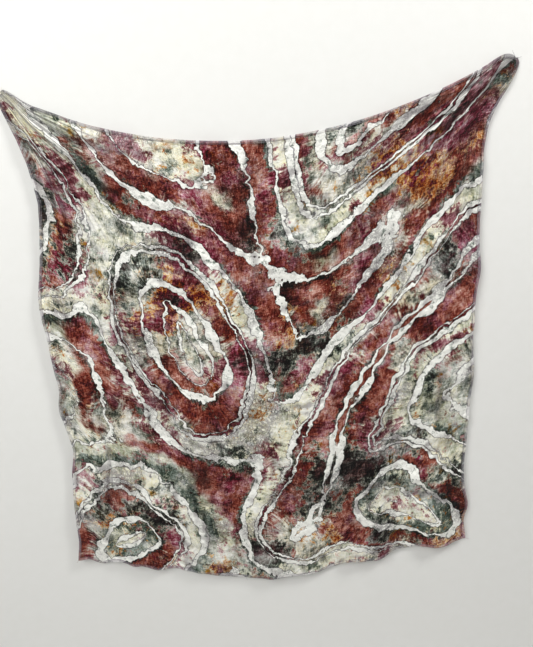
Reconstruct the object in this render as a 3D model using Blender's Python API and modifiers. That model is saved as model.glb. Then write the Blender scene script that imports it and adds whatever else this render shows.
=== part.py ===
"""Ice dyed swaddle blanket, hung flat against a wall by its two upper corners.

One square of crinkled cotton gauze with a narrow overlocked hem on all four sides. The top hem
sags between the pinned corners, the sides draw in below them, the bottom hem bellies down in
the middle, and soft folds fan out from the pins, flute the bottom hem and cross the lower right.

Metres, +Z up. The cloth faces -Y and the wall is on its +Y side. The origin is on the middle of
the top hem. A place on the cloth is (across, down): 0 to 1 from the left side hem to the right
one, and 0 to 1 from the top hem to the bottom one.
"""

import math
from collections import namedtuple

import bmesh
import bpy

# The cloth as it was cut and sewn
CUT_SIDE = 1.19
GAUZE_THICKNESS = 0.0015
HEM_THICKNESS = 0.0026
HEM_WIDTH = 0.008
HEM_STEP = 0.0025
HEM_CELLS = 1
INNER_CELLS = 44

# The top hem: a catenary between the upper tips, lowest a little left of the middle
TIP_SPAN = 1.152
CATENARY_RADIUS = 1.16
LOWEST_X = -0.06

# The side hems: nearly upright below the flare that runs out to each tip
LEFT_REACH = 0.517
LEFT_FLARE_LENGTH = 0.10
RIGHT_REACH = 0.503
RIGHT_FLARE_LENGTH = 0.085

# The bottom hem: its two corners, how far it bellies below the line between them, and the share
# of it at each corner that its swells leave alone
LEFT_CORNER_Z = -1.056
RIGHT_CORNER_Z = -1.032
BELLY = 0.0885
CORNER_CALM = 0.01

# The upper tips are drawn back to a round nose
TIP_PULL = 0.007
TIP_PULL_LENGTH = 0.012

# The cloth's distance from the wall at its pins and over its body, how far the pins hold it
# there, and how far from a tip its fan of folds comes up
PIN_STAND = 0.003
BODY_STAND = 0.013
PIN_HOLD = 0.11
PIN_FOLD_START = 0.07

# A swell of a hem: where along it, how far outward (or inward, below 0), and its half length
Swell = namedtuple("Swell", "place outward half_length")
TOP_SWELLS = (
    Swell(0.018, 0.015, 0.030),
    Swell(0.090, 0.004, 0.050),
    Swell(0.965, 0.004, 0.030),
    Swell(1.000, -0.020, 0.022),
)
LEFT_SWELLS = (
    Swell(0.22, -0.006, 0.050),
    Swell(0.41, 0.022, 0.090),
    Swell(0.53, 0.006, 0.040),
    Swell(0.635, 0.009, 0.028),
    Swell(0.73, -0.014, 0.045),
    Swell(1.00, 0.008, 0.030),
)
RIGHT_SWELLS = (
    Swell(0.39, 0.008, 0.035),
    Swell(0.61, 0.008, 0.045),
    Swell(0.82, -0.005, 0.040),
    Swell(0.915, 0.012, 0.030),
    Swell(1.00, 0.011, 0.035),
)
BOTTOM_SWELLS = (
    Swell(0.027, -0.006, 0.018),
    Swell(0.062, 0.017, 0.024),
    Swell(0.140, 0.012, 0.022),
    Swell(0.210, 0.012, 0.026),
    Swell(0.706, -0.010, 0.022),
    Swell(0.768, 0.008, 0.022),
    Swell(0.865, 0.003, 0.030),
    Swell(0.940, 0.014, 0.045),
)

# A fold that fans out from a pin: its angle below the top hem in degrees, its height (a trough
# is below 0), how wide it is at the pin, how much it widens in each metre, and how far it reaches
PinFold = namedtuple("PinFold", "angle height width spread reach")
LEFT_PIN_FOLDS = (
    PinFold(9.0, 0.0045, 0.006, 0.060, 0.42),
    PinFold(19.0, -0.0035, 0.006, 0.060, 0.36),
    PinFold(31.0, 0.0060, 0.007, 0.075, 0.34),
    PinFold(47.0, -0.0030, 0.008, 0.080, 0.30),
    PinFold(63.0, 0.0050, 0.008, 0.080, 0.38),
    PinFold(81.0, -0.0035, 0.006, 0.050, 0.44),
)
RIGHT_PIN_FOLDS = (
    PinFold(7.0, 0.0040, 0.006, 0.050, 0.46),
    PinFold(18.0, -0.0040, 0.007, 0.060, 0.30),
    PinFold(34.0, 0.0065, 0.008, 0.080, 0.40),
    PinFold(55.0, -0.0035, 0.008, 0.085, 0.32),
    PinFold(76.0, 0.0050, 0.007, 0.060, 0.46),
)

# A flute of the bottom hem: where it meets the hem, how far across it leans on its way up, its
# height (a trough is below 0), its half width and how far up the cloth it reaches
Flute = namedtuple("Flute", "across lean height half_width reach")
HEM_FLUTES = (
    Flute(0.020, 0.010, 0.0060, 0.022, 0.30),
    Flute(0.062, 0.015, -0.0060, 0.024, 0.26),
    Flute(0.104, 0.030, 0.0070, 0.024, 0.34),
    Flute(0.175, 0.025, 0.0065, 0.028, 0.22),
    Flute(0.235, 0.060, -0.0050, 0.030, 0.30),
    Flute(0.310, 0.050, 0.0050, 0.036, 0.24),
    Flute(0.415, 0.020, -0.0040, 0.038, 0.28),
    Flute(0.500, -0.010, 0.0055, 0.036, 0.22),
    Flute(0.600, -0.020, 0.0045, 0.034, 0.34),
    Flute(0.668, -0.030, -0.0050, 0.026, 0.26),
    Flute(0.716, -0.050, 0.0085, 0.024, 0.24),
    Flute(0.782, -0.060, 0.0075, 0.024, 0.20),
    Flute(0.842, -0.090, -0.0055, 0.030, 0.24),
    Flute(0.915, -0.120, 0.0080, 0.034, 0.20),
    Flute(0.985, -0.040, -0.0045, 0.026, 0.26),
)

# A long soft fold: its two ends as (across, down), how far its middle bows to the side, its
# height (a trough is below 0) and its half width, in shares of the cloth but for the height
LongFold = namedtuple("LongFold", "start end bow height half_width")
LONG_FOLDS = (
    # sideways drapes at the lower right
    LongFold((1.02, 0.900), (0.70, 0.800), 0.030, 0.0085, 0.020),
    LongFold((1.02, 0.945), (0.74, 0.870), 0.028, -0.0050, 0.017),
    LongFold((1.02, 0.985), (0.76, 0.925), 0.020, 0.0060, 0.016),
    LongFold((1.02, 0.840), (0.82, 0.740), 0.020, -0.0040, 0.022),
    # swags below the sagging top hem
    LongFold((0.16, 0.100), (0.72, 0.070), 0.060, 0.0050, 0.026),
    LongFold((0.26, 0.215), (0.84, 0.150), 0.075, 0.0045, 0.034),
    LongFold((0.10, 0.300), (0.60, 0.345), 0.050, -0.0035, 0.036),
    # upright folds down the sides
    LongFold((0.045, 0.24), (0.060, 0.78), 0.020, 0.0065, 0.020),
    LongFold((0.105, 0.36), (0.125, 0.92), -0.018, -0.0045, 0.026),
    LongFold((0.955, 0.18), (0.950, 0.66), -0.016, 0.0060, 0.020),
    LongFold((0.890, 0.30), (0.905, 0.80), 0.022, -0.0040, 0.026),
    # slack in the middle
    LongFold((0.30, 0.44), (0.42, 0.80), -0.040, 0.0045, 0.034),
    LongFold((0.52, 0.40), (0.70, 0.66), 0.035, 0.0050, 0.032),
    LongFold((0.62, 0.30), (0.46, 0.62), -0.030, -0.0035, 0.036),
)

# The crinkle that is left at this size: waves across the cloth as (turns across, turns down,
# turn at the upper left, height)
Wave = namedtuple("Wave", "turns_across turns_down start height")
UNEVEN_WAVES = (
    Wave(5.3, 2.1, 0.15, 0.0016),
    Wave(-3.7, 6.4, 0.60, 0.0013),
    Wave(9.1, -4.6, 0.35, 0.0009),
)

GAUZE_COLOUR = (0.235, 0.125, 0.115, 1.0)
GAUZE_ROUGHNESS = 0.9


def ridge(distance, half_width):
    """A soft ridge: 1 on its line, about a third at half_width from it, and next to 0 beyond."""
    return math.exp(-((distance / half_width) ** 2))


def swelling(swells, place):
    """How far the swells of one hem push it outward at this place along it."""
    return sum(swell.outward * ridge(place - swell.place, swell.half_length) for swell in swells)


def catenary_height(x):
    """Height of the hanging top hem above its own lowest point."""
    return CATENARY_RADIUS * (math.cosh((x - LOWEST_X) / CATENARY_RADIUS) - 1.0)


def top_hem(across):
    x = (across - 0.5) * TIP_SPAN
    return x, catenary_height(x) - catenary_height(0.0) + swelling(TOP_SWELLS, across)


def left_hem(down):
    top_z = top_hem(0.0)[1]
    flare = (TIP_SPAN / 2.0 - LEFT_REACH) * ridge(down, LEFT_FLARE_LENGTH)
    x = -LEFT_REACH - flare - swelling(LEFT_SWELLS, down)
    return x, top_z + (LEFT_CORNER_Z - top_z) * down


def right_hem(down):
    top_z = top_hem(1.0)[1]
    flare = (TIP_SPAN / 2.0 - RIGHT_REACH) * ridge(down, RIGHT_FLARE_LENGTH)
    x = RIGHT_REACH + flare + swelling(RIGHT_SWELLS, down)
    return x, top_z + (RIGHT_CORNER_Z - top_z) * down


def bottom_hem(across):
    left_x = left_hem(1.0)[0]
    right_x = right_hem(1.0)[0]
    chord_z = LEFT_CORNER_Z + (RIGHT_CORNER_Z - LEFT_CORNER_Z) * across
    belly = BELLY * math.sin(math.pi * across) ** 2
    corner_calm = 1.0 - ridge(across, CORNER_CALM) - ridge(1.0 - across, CORNER_CALM)
    z = chord_z - belly - corner_calm * swelling(BOTTOM_SWELLS, across)
    return left_x + (right_x - left_x) * across, z


def pin_distances(across, down):
    """Metres of cloth from a place to the upper left tip and to the upper right one."""
    from_left = math.hypot(across, down) * CUT_SIDE
    from_right = math.hypot(1.0 - across, down) * CUT_SIDE
    return from_left, from_right


def between_hems(across, down):
    """(x, z) of a place on the cloth, spread evenly between the four hems as a Coons patch."""
    place = []
    for axis in (0, 1):
        rows = (1.0 - down) * top_hem(across)[axis] + down * bottom_hem(across)[axis]
        columns = (1.0 - across) * left_hem(down)[axis] + across * right_hem(down)[axis]
        corners = (
            (1.0 - across) * (1.0 - down) * top_hem(0.0)[axis]
            + across * (1.0 - down) * top_hem(1.0)[axis]
            + (1.0 - across) * down * bottom_hem(0.0)[axis]
            + across * down * bottom_hem(1.0)[axis]
        )
        place.append(rows + columns - corners)
    from_left, from_right = pin_distances(across, down)
    left_pull = TIP_PULL * ridge(from_left, TIP_PULL_LENGTH)
    right_pull = TIP_PULL * ridge(from_right, TIP_PULL_LENGTH)
    return place[0] + left_pull - right_pull, place[1] - left_pull - right_pull


def pin_fold_height(folds, inward, downward):
    """Height of one pin's fan of folds, at these metres of cloth inward and downward of its tip."""
    radius = math.hypot(inward, downward)
    height = 0.0
    for fold in folds:
        turn = math.atan2(downward, inward) - math.radians(fold.angle)
        off_line = radius * math.sin(turn)
        envelope = (1.0 - ridge(radius, PIN_FOLD_START)) * ridge(radius, fold.reach)
        height += fold.height * envelope * ridge(off_line, fold.width + fold.spread * radius)
    return height


def flute_height(across, down):
    height = 0.0
    for flute in HEM_FLUTES:
        line = flute.across + flute.lean * (1.0 - down)
        height += flute.height * ridge(1.0 - down, flute.reach) * ridge(across - line, flute.half_width)
    return height


def long_fold_height(across, down):
    height = 0.0
    for fold in LONG_FOLDS:
        run_across = fold.end[0] - fold.start[0]
        run_down = fold.end[1] - fold.start[1]
        length = math.hypot(run_across, run_down)
        to_across = across - fold.start[0]
        to_down = down - fold.start[1]
        share = (to_across * run_across + to_down * run_down) / length**2
        aside = (to_across * run_down - to_down * run_across) / length
        if 0.0 < share < 1.0:
            bowed = aside + fold.bow * math.sin(math.pi * share)
            height += fold.height * math.sin(math.pi * share) ** 2 * ridge(bowed, fold.half_width)
    return height


def wave_height(across, down):
    height = 0.0
    for wave in UNEVEN_WAVES:
        turns = wave.turns_across * across + wave.turns_down * down + wave.start
        height += wave.height * math.sin(2.0 * math.pi * turns)
    return height


def stand_off(across, down):
    """Distance of a place on the cloth from the wall."""
    held = sum(ridge(distance, PIN_HOLD) for distance in pin_distances(across, down))
    folds = pin_fold_height(LEFT_PIN_FOLDS, across * CUT_SIDE, down * CUT_SIDE)
    folds += pin_fold_height(RIGHT_PIN_FOLDS, (1.0 - across) * CUT_SIDE, down * CUT_SIDE)
    free = flute_height(across, down) + long_fold_height(across, down) + wave_height(across, down)
    return PIN_STAND + (1.0 - held) * (BODY_STAND - PIN_STAND + free) + folds


def cloth_point(across, down):
    x, z = between_hems(across, down)
    return x, stand_off(0.5, 0.0) - stand_off(across, down), z


def grid_lines():
    """Shares of the cut side at which the cloth is divided: the hem, its step, and even cells."""
    hem = HEM_WIDTH / CUT_SIDE
    inner = hem + HEM_STEP / CUT_SIDE
    lines = [0.0, hem]
    for step in range(INNER_CELLS + 1):
        lines.append(inner + (1.0 - 2.0 * inner) * step / INNER_CELLS)
    return lines + [1.0 - hem, 1.0]


def build_cloth(collection, material):
    """The hung cloth: a flat grid bent to its hanging shape, then thickened, more at the hem."""
    lines = grid_lines()
    cells = len(lines) - 1
    shape = bmesh.new()
    bmesh.ops.create_grid(shape, x_segments=cells, y_segments=cells, size=0.5)
    in_hem = []
    for vertex in shape.verts:
        column = round((vertex.co.x + 0.5) * cells)
        row = round((0.5 - vertex.co.y) * cells)
        if min(column, row, cells - column, cells - row) <= HEM_CELLS:
            in_hem.append(vertex.index)
        vertex.co = cloth_point(lines[column], lines[row])
    mesh = bpy.data.meshes.new("swaddle_cloth")
    shape.to_mesh(mesh)
    shape.free()
    mesh.materials.append(material)
    mesh.shade_smooth()
    cloth = bpy.data.objects.new("swaddle_cloth", mesh)
    collection.objects.link(cloth)
    hem = cloth.vertex_groups.new(name="hem")
    hem.add(in_hem, 1.0, "REPLACE")
    thicken = cloth.modifiers.new("thickness", "SOLIDIFY")
    thicken.thickness = HEM_THICKNESS
    thicken.offset = 0.0
    thicken.vertex_group = hem.name
    thicken.thickness_vertex_group = GAUZE_THICKNESS / HEM_THICKNESS
    return cloth


def gauze_material():
    material = bpy.data.materials.new("ice_dyed_gauze")
    material.use_nodes = True
    shader = material.node_tree.nodes["Principled BSDF"]
    shader.inputs["Base Color"].default_value = GAUZE_COLOUR
    shader.inputs["Roughness"].default_value = GAUZE_ROUGHNESS
    shader.inputs["Metallic"].default_value = 0.0
    material.diffuse_color = GAUZE_COLOUR
    return material


def clear_scene():
    for obj in list(bpy.data.objects):
        bpy.data.objects.remove(obj, do_unlink=True)


def main():
    clear_scene()
    collection = bpy.data.collections.new("ice_dyed_swaddle_blanket")
    bpy.context.scene.collection.children.link(collection)
    build_cloth(collection, gauze_material())


main()
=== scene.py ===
"""Looks of the ice dyed swaddle blanket: its crinkled gauze, overlocked hem and ice dye.

Metres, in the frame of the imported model: the cloth faces -Y, the wall is on its +Y side, and
the origin is on the middle of the top hem. A place on the cloth is (across, down), each 0 to 1,
and the dye is laid out in metres of flat cloth from the upper left corner.
"""

import math
from collections import namedtuple

import bmesh
import bpy
import numpy as np
from mathutils import Euler, Matrix, Vector, noise


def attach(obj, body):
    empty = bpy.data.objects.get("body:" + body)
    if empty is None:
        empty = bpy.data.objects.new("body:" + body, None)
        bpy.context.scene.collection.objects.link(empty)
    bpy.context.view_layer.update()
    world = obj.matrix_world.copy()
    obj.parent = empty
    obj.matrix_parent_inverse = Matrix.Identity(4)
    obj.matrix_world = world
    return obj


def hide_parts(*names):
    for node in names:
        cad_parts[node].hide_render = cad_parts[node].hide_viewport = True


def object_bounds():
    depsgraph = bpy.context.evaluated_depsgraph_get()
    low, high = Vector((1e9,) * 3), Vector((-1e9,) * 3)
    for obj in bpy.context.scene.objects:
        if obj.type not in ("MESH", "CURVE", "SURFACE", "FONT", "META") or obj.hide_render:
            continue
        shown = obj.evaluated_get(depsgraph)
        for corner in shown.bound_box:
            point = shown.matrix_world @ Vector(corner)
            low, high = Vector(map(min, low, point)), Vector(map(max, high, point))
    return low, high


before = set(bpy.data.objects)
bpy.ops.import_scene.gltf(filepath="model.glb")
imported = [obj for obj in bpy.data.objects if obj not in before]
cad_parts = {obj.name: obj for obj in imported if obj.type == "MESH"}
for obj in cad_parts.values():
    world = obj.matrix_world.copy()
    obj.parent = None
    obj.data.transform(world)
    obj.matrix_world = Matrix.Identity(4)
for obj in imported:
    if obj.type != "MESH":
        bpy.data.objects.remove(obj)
CAD_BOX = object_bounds()


def rows(kind, table):
    """A table with named columns."""
    return [kind(*row) for row in table]


# The cloth as it was cut and sewn
CUT_SIDE = 1.19
GAUZE_THICKNESS = 0.0009
HEM_THICKNESS = 0.0022
HEM_WIDTH = 0.008
HEM_STEP = 0.0025
HEM_CELLS = 2
INNER_CELLS = 212

# The top hem: a catenary between the upper tips, lowest a little left of the middle
TIP_SPAN = 1.152
CATENARY_RADIUS = 1.16
LOWEST_X = -0.06

# The bottom hem: how far it bellies below the line between its two corners, and the share of it at
# each corner that its swells leave alone
BELLY = 0.0885
CORNER_CALM = 0.01

# The upper tips are drawn back to a round nose
TIP_PULL = 0.007
TIP_PULL_LENGTH = 0.012

# The cloth's distance from the wall at its pins and over its body, how far the pins hold it
# there, and how far from a tip its fan of folds comes up
PIN_STAND = 0.003
BODY_STAND = 0.013
PIN_HOLD = 0.11
PIN_FOLD_START = 0.07

# A swell of a hem: where along it, how far outward (or inward, below 0), and its half length
Swell = namedtuple("Swell", "place outward half_length")
TOP_SWELLS = rows(Swell, (
    (0.018, 0.015, 0.030),
    (0.090, 0.004, 0.050),
    (0.965, 0.004, 0.030),
    (1.000, -0.020, 0.022),
))
LEFT_SWELLS = rows(Swell, (
    (0.22, -0.006, 0.050),
    (0.41, 0.022, 0.090),
    (0.53, 0.006, 0.040),
    (0.635, 0.009, 0.028),
    (0.73, -0.014, 0.045),
    (1.00, 0.008, 0.030),
))
RIGHT_SWELLS = rows(Swell, (
    (0.39, 0.008, 0.035),
    (0.61, 0.008, 0.045),
    (0.82, -0.005, 0.040),
    (0.915, 0.012, 0.030),
    (1.00, 0.011, 0.035),
))
BOTTOM_SWELLS = rows(Swell, (
    (0.027, -0.006, 0.018),
    (0.062, 0.017, 0.024),
    (0.140, 0.012, 0.022),
    (0.210, 0.012, 0.026),
    (0.706, -0.010, 0.022),
    (0.768, 0.008, 0.022),
    (0.865, 0.003, 0.030),
    (0.940, 0.014, 0.045),
))

# A side hem, nearly upright below the flare that runs out to its tip: its side (-1 is left), how
# far it hangs from the middle, the length of its flare, the height of its lower corner, its swells
SideHem = namedtuple("SideHem", "side reach flare_length corner_z swells")
LEFT_HEM = SideHem(-1.0, 0.517, 0.10, -1.056, LEFT_SWELLS)
RIGHT_HEM = SideHem(1.0, 0.503, 0.085, -1.032, RIGHT_SWELLS)

# A fold that fans out from a pin: its angle below the top hem in degrees, its height (a trough
# is below 0), how wide it is at the pin, how much it widens in each metre, and how far it reaches
PinFold = namedtuple("PinFold", "angle height width spread reach")
LEFT_PIN_FOLDS = rows(PinFold, (
    (9.0, 0.0045, 0.006, 0.060, 0.42),
    (19.0, -0.0035, 0.006, 0.060, 0.36),
    (31.0, 0.0060, 0.007, 0.075, 0.34),
    (47.0, -0.0030, 0.008, 0.080, 0.30),
    (63.0, 0.0050, 0.008, 0.080, 0.38),
    (81.0, -0.0035, 0.006, 0.050, 0.44),
))
RIGHT_PIN_FOLDS = rows(PinFold, (
    (7.0, 0.0040, 0.006, 0.050, 0.46),
    (18.0, -0.0040, 0.007, 0.060, 0.30),
    (34.0, 0.0065, 0.008, 0.080, 0.40),
    (55.0, -0.0035, 0.008, 0.085, 0.32),
    (76.0, 0.0050, 0.007, 0.060, 0.46),
))

# A flute of the bottom hem: where it meets the hem, how far across it leans on its way up, its
# height (a trough is below 0), its half width and how far up the cloth it reaches
Flute = namedtuple("Flute", "across lean height half_width reach")
HEM_FLUTES = rows(Flute, (
    (0.020, 0.010, 0.0060, 0.022, 0.30),
    (0.062, 0.015, -0.0060, 0.024, 0.26),
    (0.104, 0.030, 0.0070, 0.024, 0.34),
    (0.175, 0.025, 0.0065, 0.028, 0.22),
    (0.235, 0.060, -0.0050, 0.030, 0.30),
    (0.310, 0.050, 0.0050, 0.036, 0.24),
    (0.415, 0.020, -0.0040, 0.038, 0.28),
    (0.500, -0.010, 0.0055, 0.036, 0.22),
    (0.600, -0.020, 0.0045, 0.034, 0.34),
    (0.668, -0.030, -0.0050, 0.026, 0.26),
    (0.716, -0.050, 0.0085, 0.024, 0.24),
    (0.782, -0.060, 0.0075, 0.024, 0.20),
    (0.842, -0.090, -0.0055, 0.030, 0.24),
    (0.915, -0.120, 0.0080, 0.034, 0.20),
    (0.985, -0.040, -0.0045, 0.026, 0.26),
))

# A long soft fold: its two ends, how far its middle bows to the side, its height (a trough is
# below 0) and its half width, in shares of the cloth but for the height
LongFold = namedtuple("LongFold", "across down end_across end_down bow height half_width")
LONG_FOLDS = rows(LongFold, (
    # sideways drapes at the lower right
    (1.02, 0.900, 0.70, 0.800, 0.030, 0.0085, 0.020),
    (1.02, 0.945, 0.74, 0.870, 0.028, -0.0050, 0.017),
    (1.02, 0.985, 0.76, 0.925, 0.020, 0.0060, 0.016),
    (1.02, 0.840, 0.82, 0.740, 0.020, -0.0040, 0.022),
    # swags below the sagging top hem
    (0.16, 0.100, 0.72, 0.070, 0.060, 0.0050, 0.026),
    (0.26, 0.215, 0.84, 0.150, 0.075, 0.0045, 0.034),
    (0.10, 0.300, 0.60, 0.345, 0.050, -0.0035, 0.036),
    # upright folds down the sides
    (0.045, 0.24, 0.060, 0.78, 0.020, 0.0065, 0.020),
    (0.105, 0.36, 0.125, 0.92, -0.018, -0.0045, 0.026),
    (0.955, 0.18, 0.950, 0.66, -0.016, 0.0060, 0.020),
    (0.890, 0.30, 0.905, 0.80, 0.022, -0.0040, 0.026),
    # slack in the middle
    (0.30, 0.44, 0.42, 0.80, -0.040, 0.0045, 0.034),
    (0.52, 0.40, 0.70, 0.66, 0.035, 0.0050, 0.032),
    (0.62, 0.30, 0.46, 0.62, -0.030, -0.0035, 0.036),
))

# Finer creases, which only this mesh is fine enough to carry
CREASES = rows(LongFold, (
    # along and below the top hem at the upper left
    (0.03, 0.020, 0.34, 0.012, 0.004, 0.0042, 0.0065),
    (0.03, 0.030, 0.30, 0.040, 0.006, -0.0034, 0.0065),
    (0.03, 0.040, 0.26, 0.085, 0.008, 0.0042, 0.0072),
    (0.04, 0.055, 0.25, 0.150, 0.006, -0.0034, 0.0072),
    (0.04, 0.080, 0.19, 0.260, -0.008, 0.0038, 0.0078),
    (0.02, 0.080, 0.08, 0.380, -0.010, -0.0034, 0.0072),
    (0.01, 0.100, 0.03, 0.460, -0.008, 0.0034, 0.0065),
    # below the upper right tip
    (0.97, 0.020, 0.70, 0.018, -0.004, -0.0034, 0.0065),
    (0.97, 0.030, 0.74, 0.060, -0.008, 0.0042, 0.0072),
    (0.96, 0.045, 0.78, 0.130, -0.010, -0.0034, 0.0078),
    (0.97, 0.070, 0.86, 0.230, 0.010, 0.0038, 0.0078),
    (0.98, 0.080, 0.94, 0.340, 0.008, -0.0034, 0.0072),
    # nearly level, in the upper middle
    (0.36, 0.130, 0.56, 0.150, 0.010, 0.0027, 0.0078),
    (0.34, 0.185, 0.52, 0.175, -0.008, -0.0023, 0.0072),
    (0.44, 0.235, 0.66, 0.260, 0.012, 0.0027, 0.0084),
    (0.28, 0.275, 0.45, 0.300, -0.010, -0.0025, 0.0078),
    # down the left side and the lower left
    (0.035, 0.52, 0.045, 0.94, 0.010, 0.0038, 0.0078),
    (0.085, 0.60, 0.080, 0.98, -0.008, -0.0030, 0.0078),
    (0.155, 0.56, 0.165, 0.90, 0.012, 0.0029, 0.0084),
    (0.215, 0.66, 0.240, 0.97, -0.010, 0.0027, 0.0084),
    (0.340, 0.70, 0.330, 0.99, 0.008, -0.0025, 0.0084),
    # across the lower right
    (1.00, 0.870, 0.76, 0.800, 0.016, 0.0038, 0.0078),
    (1.00, 0.925, 0.80, 0.850, 0.018, -0.0038, 0.0078),
    (0.99, 0.960, 0.84, 0.905, 0.012, 0.0042, 0.0072),
    (0.90, 0.985, 0.70, 0.915, -0.012, 0.0034, 0.0078),
    (0.74, 0.995, 0.67, 0.860, 0.012, -0.0034, 0.0078),
    # down the right side
    (0.965, 0.42, 0.970, 0.78, -0.008, 0.0034, 0.0072),
    (0.925, 0.50, 0.935, 0.84, 0.010, -0.0027, 0.0078),
))

# Waves over the whole cloth: turns across, turns down, turn at the upper left, and height
Wave = namedtuple("Wave", "turns_across turns_down start height")
UNEVEN_WAVES = rows(Wave, (
    (5.3, 2.1, 0.15, 0.0016),
    (-3.7, 6.4, 0.60, 0.0013),
    (9.1, -4.6, 0.35, 0.0009),
))

# The crinkle of the gauze: short wrinkles as (across each metre, down each metre, height)
Crinkle = namedtuple("Crinkle", "across_scale down_scale height")
CRINKLES = rows(Crinkle, (
    (34.0, 15.0, 0.0034),
    (17.0, 42.0, 0.0030),
    (70.0, 50.0, 0.0014),
))

# The patches of the crinkle: turns in each metre, its strength on average, how far that varies,
# and its least and its most
PATCH_TURNS = 5.0
PATCH_MEAN = 0.65
PATCH_SWING = 0.6
PATCH_LEAST = 0.1
PATCH_MOST = 1.2

# The stretched hem ruffles: turns in each metre, how far, and how far in from the edge. The hem is
# stiffer, so it leaves out a share of the creases.
RUFFLE_TURNS = 34.0
RUFFLE_HEIGHT = 0.0030
RUFFLE_WIDTH = 0.016
HEM_STIFFNESS = 0.7

# The overlocked hem: the thread, how far it reaches in from the edge and past it, how far it
# stands off the middle of the cloth, and the length of a stitch
THREAD_RADIUS = 0.00035
THREAD_SIDES = 3
STITCH_INNER = 0.0072
STITCH_OUTER = 0.0005
STITCH_STAND = 0.0015
STITCH_LENGTH = 0.003
STITCH_STEPS = 10
CORNER_ROUND = 0.004

# A loose end of thread: where it leaves the hem as (across, down), its heading in degrees
# from +X towards +Z, its length and how far it curls sideways, as a sine up to CURL_TURN radians
ThreadEnd = namedtuple("ThreadEnd", "across down heading length curl")
THREAD_ENDS = rows(ThreadEnd, (
    (0.002, 0.001, 160.0, 0.012, 0.004),
    (0.004, 0.000, 75.0, 0.009, -0.003),
    (0.998, 0.001, 30.0, 0.010, -0.003),
    (0.990, 0.000, 95.0, 0.013, 0.005),
    (0.001, 0.998, 215.0, 0.011, 0.004),
    (0.999, 0.999, -40.0, 0.012, 0.004),
    (0.430, 1.000, -100.0, 0.009, 0.004),
))
THREAD_END_STEPS = 14
CURL_TURN = 2.2

# A geode of the dye: its middle as (across, down), half length, half width, turn in degrees, how
# much broader it is at one end, how far its ends are bent aside, how widely its bands are spaced,
# and its mood from 0, which takes the warm bands, to 1, which takes the cool ones
Geode = namedtuple("Geode", "across down half_length half_width turn egg bend spacing mood")
GEODES = rows(Geode, (
    (0.330, 0.440, 0.185, 0.095, 64.0, 0.25, 0.015, 1.05, 0.10),
    (0.840, 0.860, 0.165, 0.070, 14.0, -0.15, 0.045, 0.95, 0.75),
    (0.740, -0.010, 0.150, 0.080, -14.0, -0.20, 0.020, 1.15, 0.40),
    (-0.030, 0.210, 0.130, 0.072, 82.0, 0.20, 0.010, 1.10, 0.70),
    (0.100, 0.930, 0.100, 0.060, -32.0, 0.10, 0.000, 1.10, 0.90),
    (0.745, 0.600, 0.400, 0.012, -47.0, 0.00, 0.050, 1.20, 0.35),
))
GEODE_SIDES = 72
MERGE_LENGTH = 0.040
SHARE_LENGTH = 0.060

# The dye field counts as at least this steep, so that a vein on a level stretch stays narrow
LEAST_SLOPE = 0.35

# Slow warp of the whole layout, as (turns in each metre, reach)
DYE_WARP = ((2.3, 0.075), (6.0, 0.030))


def srgb(red, green, blue):
    """A linear colour from the 0 to 255 values that a screen shows."""
    linear = []
    for value in (red, green, blue):
        share = value / 255.0
        linear.append(share / 12.92 if share <= 0.04045 else ((share + 0.055) / 1.055) ** 2.4)
    return (*linear, 1.0)


# Dye colours
RUST = srgb(160, 95, 79)
DEEP_RUST = srgb(122, 62, 48)
WINE = srgb(110, 46, 58)
PLUM = srgb(156, 100, 110)
PINK = srgb(220, 184, 178)
SLATE = srgb(124, 136, 126)
DARK_SLATE = srgb(52, 59, 54)
MIST = srgb(214, 216, 201)
CREAM = srgb(250, 248, 234)
VEIN_WHITE = srgb(253, 253, 247)
OCHRE = srgb(214, 158, 64)
RASPBERRY = srgb(140, 36, 70)
BROWN_BLACK = srgb(46, 28, 28)
NO_TINT = srgb(255, 255, 255)
LILAC_GREY = srgb(196, 190, 202)

# Tints, which darken the dye below them: a vein's outline, and painted shade along the hem's step
# by the stitches, in troughs and along creases
OUTLINE_TINT = (0.24, 0.23, 0.26, 1.0)
HEM_STEP_SHADE_TINT = (0.16, 0.12, 0.17, 1.0)
TROUGH_SHADE_TINT = (0.52, 0.50, 0.52, 1.0)
CREASE_SHADE_TINT = (0.42, 0.40, 0.42, 1.0)

# A band of dye: where it starts, in metres out from a geode's outline, its colour, the colour
# that mottles it and the colour of its flecks
Band = namedtuple("Band", "start colour mottle fleck")
WARM_BANDS = rows(Band, (
    (-0.150, CREAM, PINK, OCHRE),
    (-0.075, PINK, MIST, RASPBERRY),
    (-0.042, RUST, DEEP_RUST, WINE),
    (0.000, DARK_SLATE, SLATE, RUST),
    (0.010, RUST, PLUM, WINE),
    (0.066, WINE, RUST, DEEP_RUST),
    (0.080, CREAM, MIST, SLATE),
    (0.126, SLATE, DARK_SLATE, CREAM),
    (0.140, RUST, PLUM, DEEP_RUST),
    (0.192, DARK_SLATE, RUST, WINE),
    (0.204, RUST, WINE, PLUM),
    (0.246, CREAM, SLATE, OCHRE),
    (0.300, RUST, WINE, DARK_SLATE),
))
COOL_BANDS = rows(Band, (
    (-0.150, PINK, RUST, OCHRE),
    (-0.075, CREAM, MIST, RASPBERRY),
    (-0.042, SLATE, CREAM, OCHRE),
    (0.000, DARK_SLATE, SLATE, RUST),
    (0.014, RUST, WINE, RASPBERRY),
    (0.066, CREAM, MIST, PINK),
    (0.126, SLATE, MIST, DARK_SLATE),
    (0.156, MIST, CREAM, RUST),
    (0.192, CREAM, SLATE, OCHRE),
    (0.246, SLATE, RUST, DARK_SLATE),
    (0.270, RUST, WINE, DEEP_RUST),
))
BAND_START = -0.15
BAND_END = 0.35
BAND_SOFTNESS = 0.006

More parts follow.
